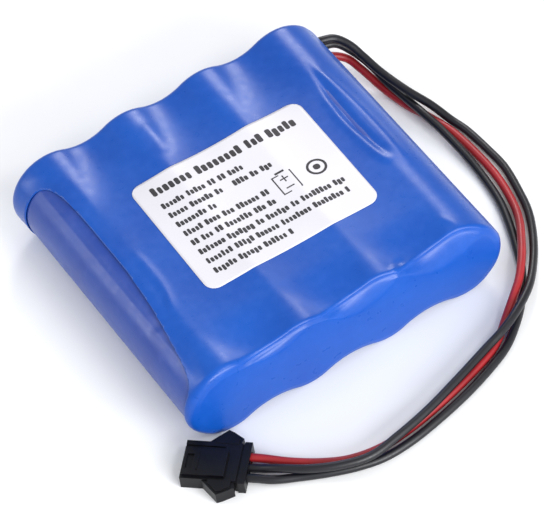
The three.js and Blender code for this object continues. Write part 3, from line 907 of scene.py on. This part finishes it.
# One letter's block, in shares of its row's height.
LETTER_PITCH = 0.54
LOW_LETTER = 0.76
LETTER_HANG = 0.22
LETTER_CORNER = 0.16
LETTER_WIDTHS = (0.66, 0.86)  # least and most, in shares of the pitch
WORD_GAP = 0.75  # in shares of the pitch
TALL_CHANCE = 0.28
HANG_CHANCE = 0.12
MOST_ROUND = 0.45  # a corner's most, in shares of the block's width and height
CORNER_STEPS = 4


class Print:
    """Flat ink shapes that follow the label."""

    def __init__(self):
        self.points, self.faces = [], []

    def shape(self, outline):
        start = len(self.points)
        self.points.extend(outline)
        self.faces.append(tuple(range(start, len(self.points))))

    def block(self, u, v, width, height, corner):
        """A block with round corners round a middle."""
        corner = min(corner, width * MOST_ROUND, height * MOST_ROUND)
        self.shape(rounded_outline(width / 2, height / 2, corner, CORNER_STEPS) + (u, v))

    def stroke(self, line, width):
        """A line of even width through the given points."""
        line = np.array(line, float)
        for start, end in zip(line, line[1:]):
            step = (end - start) / np.linalg.norm(end - start)
            side = np.array((-step[1], step[0])) * width / 2
            more = step * width / 2
            corners = (start - more + side, start - more - side, end + more - side, end + more + side)
            self.shape(corners)

    def piece(self, material):
        u, v = np.array(self.points).T
        points = label_point(u, v + PRINT_SLANT * (u - PRINT_MARGIN), INK_RISE)
        made = mesh_object("label_print", points, self.faces, smooth=False)
        paint(made, material)
        thicken(made, INK_THICKNESS)
        return made


def print_words(ink, v, height, fills, chance):
    """Fills a row with words of blocks: low ones for small letters, some tall, some hanging."""
    pitch = height * LETTER_PITCH
    corner = height * LETTER_CORNER
    low = height * LOW_LETTER
    for start, end in fills:
        u = PRINT_MARGIN + start + pitch / 2
        left = chance.integers(SHORTEST_WORD, LONGEST_WORD + 1)
        first = True
        while u < PRINT_MARGIN + end - pitch / 3:
            tall = first or chance.random() < TALL_CHANCE
            width = pitch * chance.uniform(*LETTER_WIDTHS)
            if tall:
                ink.block(u, v + height / 2, width, height, corner)
            else:
                hang = height * LETTER_HANG if chance.random() < HANG_CHANCE else 0.0
                ink.block(u, v + (low - hang) / 2, width, low + hang, corner)
            first = False
            left -= 1
            u += pitch
            if left <= 0:
                u += pitch * WORD_GAP
                left = chance.integers(SHORTEST_WORD, LONGEST_WORD + 1)
                first = True


BATTERY_SIGN = (7.1, -0.8)  # the middle of its case
BATTERY_HALF = (2.1, 2.6)
SIGN_ARM = 0.8  # half of the plus, the minus and the knob
KNOB_UP, PLUS_UP, MINUS_UP = 3.2, 1.2, -1.4  # over the case's middle
RING_SIGN = (14.2, -0.6)
RING_RADIUS = 1.9
RING_POINTS = 25
DOT_SIZE, DOT_CORNER = 1.5, 0.6


def print_battery_sign(ink):
    """A plain upright cell with a knob, a plus and a minus."""
    u, v = BATTERY_SIGN
    half_width, half_height = BATTERY_HALF
    turns = ((-1, 1), (1, 1), (1, -1), (-1, -1), (-1, 1))
    ink.stroke([(u + half_width * x, v + half_height * y) for x, y in turns], THIN_STROKE)
    for up, width in ((KNOB_UP, BOLD_STROKE), (PLUS_UP, THIN_STROKE), (MINUS_UP, THIN_STROKE)):
        ink.stroke([(u - SIGN_ARM, v + up), (u + SIGN_ARM, v + up)], width)
    ink.stroke([(u, v + PLUS_UP + SIGN_ARM), (u, v + PLUS_UP - SIGN_ARM)], THIN_STROKE)


def print_ring_sign(ink):
    """A plain ring round a dot."""
    u, v = RING_SIGN
    turns = np.linspace(0, 2 * math.pi, RING_POINTS)
    ink.stroke([(u + RING_RADIUS * math.cos(a), v + RING_RADIUS * math.sin(a)) for a in turns], BOLD_STROKE)
    ink.block(u, v, DOT_SIZE, DOT_SIZE, DOT_CORNER)


def make_print(material):
    ink = Print()
    chance = np.random.default_rng(PRINT_SEED)
    print_words(ink, HEADING_V - HEADING_HEIGHT / 2, HEADING_HEIGHT, HEADING_FILLS, chance)
    for row, fills in enumerate(ROW_FILLS):
        middle = FIRST_ROW_V - row * ROW_PITCH
        print_words(ink, middle - ROW_HEIGHT / 2, ROW_HEIGHT, fills, chance)
    print_battery_sign(ink)
    print_ring_sign(ink)
    return ink.piece(material)


label = make_label(label_material())
label_print = make_print(ink_material())
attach(label_print, "root")
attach(label, "root")
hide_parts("label")


# ---------------------------- the two side cells' wraps
WRAP_LIP = 7.6  # radius of the hole at either end
WRAP_EDGE = [(0.9, 0.0), (0.35, 0.12), (0.08, 0.5)]  # in from the radius, and in from the end
WRAP_EDGE_LENGTH = 1.2  # the straight part starts this far from either end
WRAP_RINGS = 110
WRAP_SIDES = 144
WRAP_THICKNESS = 0.1
BODY_FROM, BODY_OVER = 0.05, 0.04  # how far under the full radius the marks fade in, and over what
RIDGE_LEAN = 56  # degrees up from the side's middle
RIDGE_WIDTH = 1.9  # degrees
RIDGE_HEIGHT = 0.1
DENTS = [  # degrees up from the side's middle, y, width and height
    (55, -16.5, 1.3, -0.1),
    (59, -18.6, 1.0, 0.07),
    (57, -31.2, 1.2, 0.08),
    (52, -27, 1.6, -0.06),
]


def wrap_profile(radius, near, far):
    """A wrap's radius and y from one end's lip to the other's."""
    edge = [(WRAP_LIP, 0.0)] + [(radius - inward, along) for inward, along in WRAP_EDGE]
    straight = np.linspace(near + WRAP_EDGE_LENGTH, far - WRAP_EDGE_LENGTH, WRAP_RINGS)
    profile = [(r, near + d) for r, d in edge]
    profile += [(radius, y) for y in straight]
    profile += [(r, far - d) for r, d in reversed(edge)]
    return np.array(profile)


def make_wrap(name, node, side, material):
    """A cell's wrap, with the faint ridge and dents that the shrinking leaves on its side."""
    low, high = (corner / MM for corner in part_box(node))
    centre_x = (low.x + high.x) / 2
    radius = (high.x - low.x) / 2
    profile = wrap_profile(radius, low.y, high.y)
    angles = np.linspace(0, 2 * math.pi, WRAP_SIDES, endpoint=False)
    shape = (len(profile), WRAP_SIDES)
    r, y = (np.broadcast_to(column[:, None], shape) for column in profile.T)
    a = np.broadcast_to(angles, shape)
    lean = np.degrees(a) if side > 0 else 180 - np.degrees(a)
    marks = hump(lean - RIDGE_LEAN, RIDGE_WIDTH, RIDGE_HEIGHT)
    for dent_lean, dent_y, width, height in DENTS:
        off = np.hypot(np.radians(lean - dent_lean) * radius, y - dent_y)
        marks = marks + hump(off, width, height)
    r = r + marks * smooth_step((r - radius + BODY_FROM) / BODY_OVER)
    points = np.stack([centre_x + r * np.cos(a), y, AXIS + r * np.sin(a)], axis=-1)
    made = make_sheet(name, points, grid_faces(shape, closed=True), material, WRAP_THICKNESS)
    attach(made, "root")
    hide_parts(node)


WRAP = wrap_material()
make_wrap("left_cell_wrap", "cell_1_wrap", -1, WRAP)
make_wrap("right_cell_wrap", "cell_4_wrap", 1, WRAP)


# ---------------------------- the connector's housing
# Its own x runs from the wire end to the mating end, its y across the pins.
HOUSING_LENGTH = 13.3
HOUSING_WIDTH = 9.4
HOUSING_HEIGHT = 3.2
REAR, FRONT = -HOUSING_LENGTH / 2, HOUSING_LENGTH / 2
FLANGE_DEPTH = 1.5
FLANGE_HALF_WIDTH = 5.15
MATING_FROM = 0.9
PIN_HOLE = 2.16  # width and height of the hole for each lead and its pin
WING = [(2.2, 4.7), (-1.3, 8.05), (-2.5, 7.5), (-4.7, 6.1), (-4.3, 4.6), (-4.3, 3.7), (2.2, 3.7)]
WING_STEP = [(0.9, 5.2), (-1.35, 7.4), (-2.4, 6.9), (-3.9, 5.9), (-3.9, 4.4), (0.9, 4.4)]
DECK_TOP = 3.9
REAR_SETBACK = 0.3  # the body starts this far in from the flange's rear face
FLANGE_SPAN = (0.05, 3.15)  # lowest and highest place, as for the next ones
WING_SPAN = (0.1, 2.9)
WING_STEP_SPAN = (0.6, 3.3)
DECK = (FRONT - 9.0, FRONT - 0.4, -2.3, 4.1)  # x from and to, y from and to, as for the next ones
DECK_BAR = (3.3, 3.65, -1.1, 2.9)
DECK_POCKET = (4.4, 5.8, -0.9, 2.7)
FLANGE_GROOVE = (REAR + FLANGE_DEPTH, REAR + FLANGE_DEPTH + 0.35, -6, 6)
FLANGE_GROOVE_SPAN = (2.9, 4.5)
BAR_RISE = 0.2
SINK = 0.4  # how deep the deck stands in the body and its pocket in the deck
OVERSHOOT = 1  # how far a cut runs out of the plastic
TOP_GROOVE = (-1.4, FRONT + OVERSHOOT, -3.6, -3.25)
TOP_GROOVE_DEPTH = 0.3
MATING_WALL = 0.8
MATING_HALF_HEIGHT = 1
HOLE_OVERLAP = 0.5  # the pin holes run this far into the mating recess
HOUSING_BEVEL = 0.12


def prism(outline, low, high):
    """An upright prism in the connector's own frame."""
    count = len(outline)
    corners = [(x * MM, y * MM, z * MM) for z in (low, high) for x, y in outline]
    points = np.array([at_connector(*corner) for corner in corners]) / MM
    sides = [(i, (i + 1) % count, (i + 1) % count + count, i + count) for i in range(count)]
    caps = [tuple(range(count))[::-1], tuple(range(count, 2 * count))]
    made = mesh_object("connector_part", points, sides + caps, smooth=False)
    tidy_mesh(made)
    return made


def slab(x0, x1, y0, y1, low, high):
    """A block in the connector's own frame."""
    return prism([(x0, y0), (x1, y0), (x1, y1), (x0, y1)], low, high)


def carve(base, parts, operation):
    """Joins parts to a piece or cuts them from it."""
    for part in parts:
        made = base.modifiers.new("carve", "BOOLEAN")
        made.operation = operation
        made.object = part
        made.solver = "EXACT"
        bpy.context.view_layer.update()
        graph = bpy.context.evaluated_depsgraph_get()
        data = bpy.data.meshes.new_from_object(base.evaluated_get(graph))
        base.modifiers.clear()
        base.data = data
        bpy.data.objects.remove(part)


def make_housing(material):
    half = HOUSING_WIDTH / 2
    body = slab(REAR + REAR_SETBACK, FRONT, -half, half, 0, HOUSING_HEIGHT)
    parts = [slab(REAR, REAR + FLANGE_DEPTH, -FLANGE_HALF_WIDTH, FLANGE_HALF_WIDTH, *FLANGE_SPAN)]
    for side in (-1, 1):
        parts.append(prism([(x, side * y) for x, y in WING], *WING_SPAN))
        parts.append(prism([(x, side * y) for x, y in WING_STEP], *WING_STEP_SPAN))
    parts.append(slab(*DECK, HOUSING_HEIGHT - SINK, DECK_TOP))
    parts.append(slab(*DECK_BAR, HOUSING_HEIGHT, DECK_TOP + BAR_RISE))
    carve(body, parts, "UNION")
    pin_z = PIN_HEIGHT / MM
    recess = half - MATING_WALL
    heights = (pin_z - MATING_HALF_HEIGHT, pin_z + MATING_HALF_HEIGHT)
    cuts = [
        slab(MATING_FROM, FRONT + OVERSHOOT, -recess, recess, *heights),
        slab(*DECK_POCKET, DECK_TOP - SINK, DECK_TOP + OVERSHOOT),
        slab(*FLANGE_GROOVE, *FLANGE_GROOVE_SPAN),
        slab(*TOP_GROOVE, HOUSING_HEIGHT - TOP_GROOVE_DEPTH, HOUSING_HEIGHT + OVERSHOOT),
    ]
    for pin in (-1, 0, 1):
        y = pin * PIN_PITCH / MM
        sides = (y - PIN_HOLE / 2, y + PIN_HOLE / 2)
        heights = (pin_z - PIN_HOLE / 2, pin_z + PIN_HOLE / 2)
        cuts.append(slab(REAR - OVERSHOOT, MATING_FROM + HOLE_OVERLAP, *sides, *heights))
    carve(body, cuts, "DIFFERENCE")
    body.name = "connector_body"
    paint(body, material)
    edges = body.modifiers.new("edges", "BEVEL")
    edges.width = HOUSING_BEVEL * MM
    edges.segments = 2
    edges.limit_method = "ANGLE"
    edges.harden_normals = True
    return body


PLUG = moulded_material("connector_nylon", colour(4, 4, 8), colour(9, 9, 14), 0.36)
plug = make_housing(PLUG)
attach(plug, "root")
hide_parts("connector_housing")


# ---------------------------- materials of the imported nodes
NODE_MATERIALS = {
    "can": metal_material("cell_steel", colour(150, 152, 156), colour(190, 192, 196)),
    "roll": fibre_material("electrode_roll", colour(52, 46, 42), colour(78, 68, 60)),
    "gasket": moulded_material("gasket_nylon", colour(196, 194, 186), colour(214, 212, 204)),
    "ring": fibre_material("fibre_ring", colour(206, 206, 198), colour(226, 226, 218)),
    "wrap": WRAP,
    "glue": moulded_material("hot_melt", colour(214, 202, 160), colour(230, 220, 184), 0.36),
    "strip": metal_material("nickel", colour(176, 172, 162), colour(206, 203, 194)),
    "paper": fibre_material("barley_paper", colour(184, 160, 116), colour(204, 184, 142), 900),
    "sense": lead_material("sense_wire_pvc", colour(196, 172, 44), colour(216, 194, 62)),
    "board": fibre_material("solder_mask", colour(18, 74, 42), colour(30, 92, 54), 2200),
    "chip": moulded_material("chip_epoxy", colour(24, 24, 27), colour(38, 38, 42), 0.5),
    "plug": PLUG,
    "terminal": metal_material("tinned", colour(168, 164, 154), colour(204, 200, 190)),
}


def kind_of(node):
    """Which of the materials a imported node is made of."""
    if node.startswith("cell_"):
        last = node.rsplit("_", 1)[1]
        return "can" if last == "cap" else last
    for start, kind in (("glue", "glue"), ("link", "strip"), ("tab", "strip"), ("sense_wire", "sense"),
                        ("protection_board", "board"), ("connector", "plug"), ("terminal", "terminal")):
        if node.startswith(start):
            return kind
    return "paper" if node.endswith("insulator") else "chip"


for node_name, node_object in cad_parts.items():
    if not node_object.hide_render:
        paint(node_object, NODE_MATERIALS[kind_of(node_name)])
